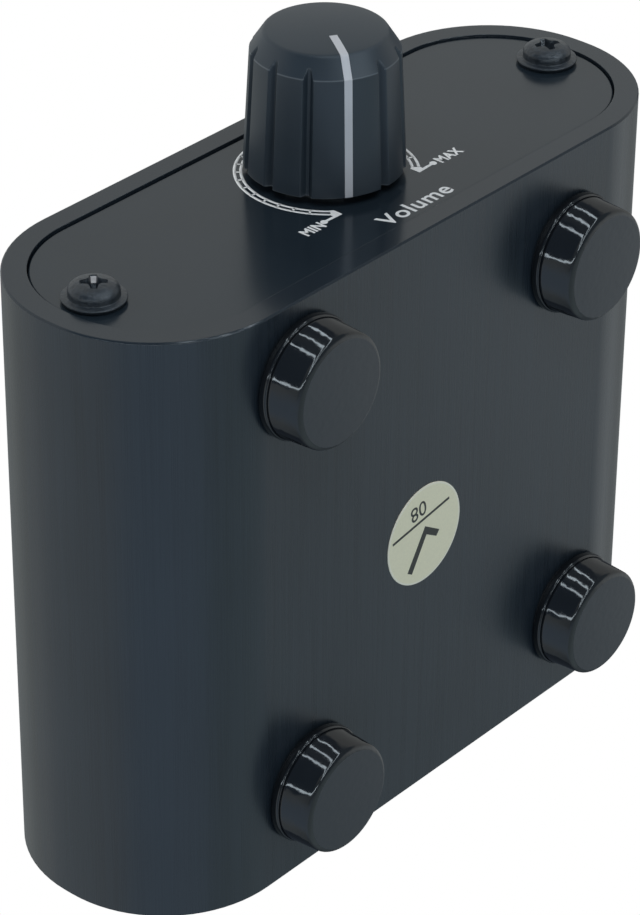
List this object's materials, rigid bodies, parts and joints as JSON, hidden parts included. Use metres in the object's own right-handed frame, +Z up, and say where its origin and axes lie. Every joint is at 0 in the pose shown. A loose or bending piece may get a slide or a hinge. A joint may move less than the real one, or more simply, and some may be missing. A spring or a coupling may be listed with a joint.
{
  "type": "studio monitor controller",
  "caption": "Small passive volume controller: rounded extruded case with set-back end panels, fluted volume knob, phono sockets behind and round feet.",
  "frame": {"origin": "under the middle of the whole object, on the surface it stands on", "axes": "+X to the right seen from the front, -Y out of the front panel along the knob, +Z up"},
  "size_m": [0.08, 0.0906, 0.034],
  "materials": {
    "anodised": "dark grey-blue anodised, fine brushed lines along the sleeve",
    "panel": "dark satin anodised plate",
    "black_steel": "black oxide steel, semi-gloss",
    "foot": "gloss black moulding",
    "adhesive": "black foam tape",
    "sticker": "pale coated paper",
    "knob_plastic": "dark grey satin moulding",
    "white_inlay": "white inlay",
    "steel": "plain turned steel",
    "zinc": "die-cast zinc",
    "nickel": "bright nickel plate",
    "dark_moulding": "black moulded plastic",
    "phenolic": "brown paper laminate",
    "light_moulding": "natural moulded plastic",
    "tin": "tinned strip",
    "board": "green coated laminate",
    "white_moulding": "white moulded plastic",
    "red_moulding": "red moulded plastic"
  },
  "bodies": {
    "case": {"case_sleeve": "anodised", "front_panel": "panel", "rear_panel": "panel", "front_panel_screws": "black_steel", "rear_panel_screws": "black_steel", "foot_front_left": "foot", "foot_front_right": "foot", "foot_rear_left": "foot", "foot_rear_right": "foot", "foot_adhesives": "adhesive", "inspection_sticker": "sticker", "pot_bushing": "zinc", "pot_washer": "steel", "pot_nut": "nickel", "pot_housing_front": "dark_moulding", "pot_element_front": "phenolic", "pot_housing_rear": "dark_moulding", "pot_element_rear": "phenolic", "pot_rear_cover": "steel", "pot_terminals": "tin", "circuit_board": "board", "rca_housing": "dark_moulding", "rca_barrels": "nickel", "rca_insulators_white": "white_moulding", "rca_insulators_red": "red_moulding", "rca_contacts": "nickel", "rca_pins": "tin", "rca_fixing_screws": "black_steel"},
    "knob": {"knob": "knob_plastic", "knob_pointer": "white_inlay", "pot_shaft": "steel", "pot_wiper_front": "light_moulding", "pot_wiper_rear": "light_moulding"}
  },
  "joints": [
    {"name": "volume_turn", "type": "hinge", "parent": "case", "child": "knob", "pos_m": [0, -0.02977, 0.0207], "axis": [0, 1, 0], "range_deg": [0, 300]}
  ]
}
